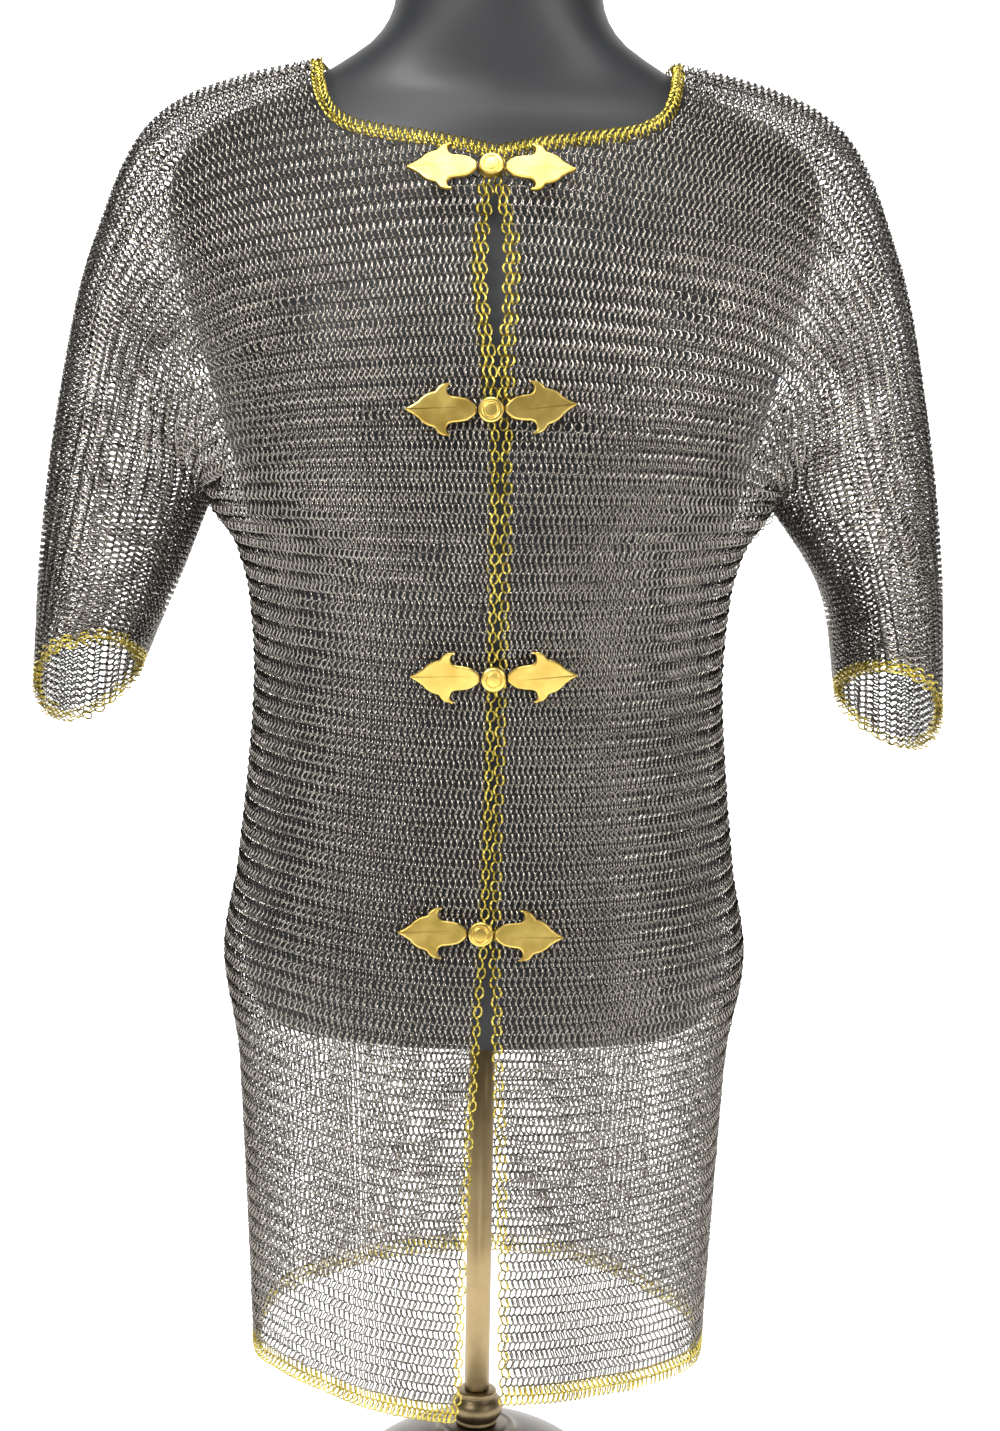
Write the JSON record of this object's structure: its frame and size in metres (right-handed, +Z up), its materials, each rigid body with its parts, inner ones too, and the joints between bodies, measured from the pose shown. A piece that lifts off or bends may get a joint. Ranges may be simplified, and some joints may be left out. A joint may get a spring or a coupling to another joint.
{
  "type": "chainmail hauberk with brass clasps on a limbless dress form with a pole stand",
  "caption": "Short-sleeved mail hauberk of linked steel rings with brass edgings and an open front held by cast clasps, worn by a limbless dress form on a pole with a domed foot.",
  "frame": {"origin": "centre of the bounding box's bottom, on the floor under the middle of the foot", "axes": "+Z up, +X towards the wearer's left, and the hauberk's open front faces -Y"},
  "size_m": [0.558, 0.2613, 0.9694],
  "materials": {
    "mail_steel": "oiled bright steel wire rings, linked four in one",
    "ring_brass": "bright brass wire rings, linked four in one",
    "cast_brass": "cast and polished, with rounded edges",
    "form_lacquer": "hard shell with a satin near-black lacquer",
    "aged_brass": "drawn tube and turned fittings with a brown patina",
    "foot_iron": "turned casting with a dark bronze-grey plate"
  },
  "bodies": {
    "root": {"front_left": "mail_steel", "front_right": "mail_steel", "back": "mail_steel", "sleeve_left": "mail_steel", "sleeve_right": "mail_steel", "neck_edging": "ring_brass", "front_edging_left": "ring_brass", "front_edging_right": "ring_brass", "hem_edging": "ring_brass", "cuff_edging_left": "ring_brass", "cuff_edging_right": "ring_brass", "dress_form": "form_lacquer", "neck_cap": "form_lacquer", "pole": "aged_brass", "pole_socket": "aged_brass", "pole_collar": "aged_brass", "foot": "foot_iron", "clasp_collar_leaf_left": "cast_brass", "clasp_collar_leaf_right": "cast_brass", "clasp_collar_boss": "cast_brass", "clasp_chest_leaf_left": "cast_brass", "clasp_chest_leaf_right": "cast_brass", "clasp_chest_boss": "cast_brass", "clasp_waist_leaf_left": "cast_brass", "clasp_waist_leaf_right": "cast_brass", "clasp_waist_boss": "cast_brass", "clasp_hip_leaf_left": "cast_brass", "clasp_hip_leaf_right": "cast_brass", "clasp_hip_boss": "cast_brass"}
  },
  "joints": []
}
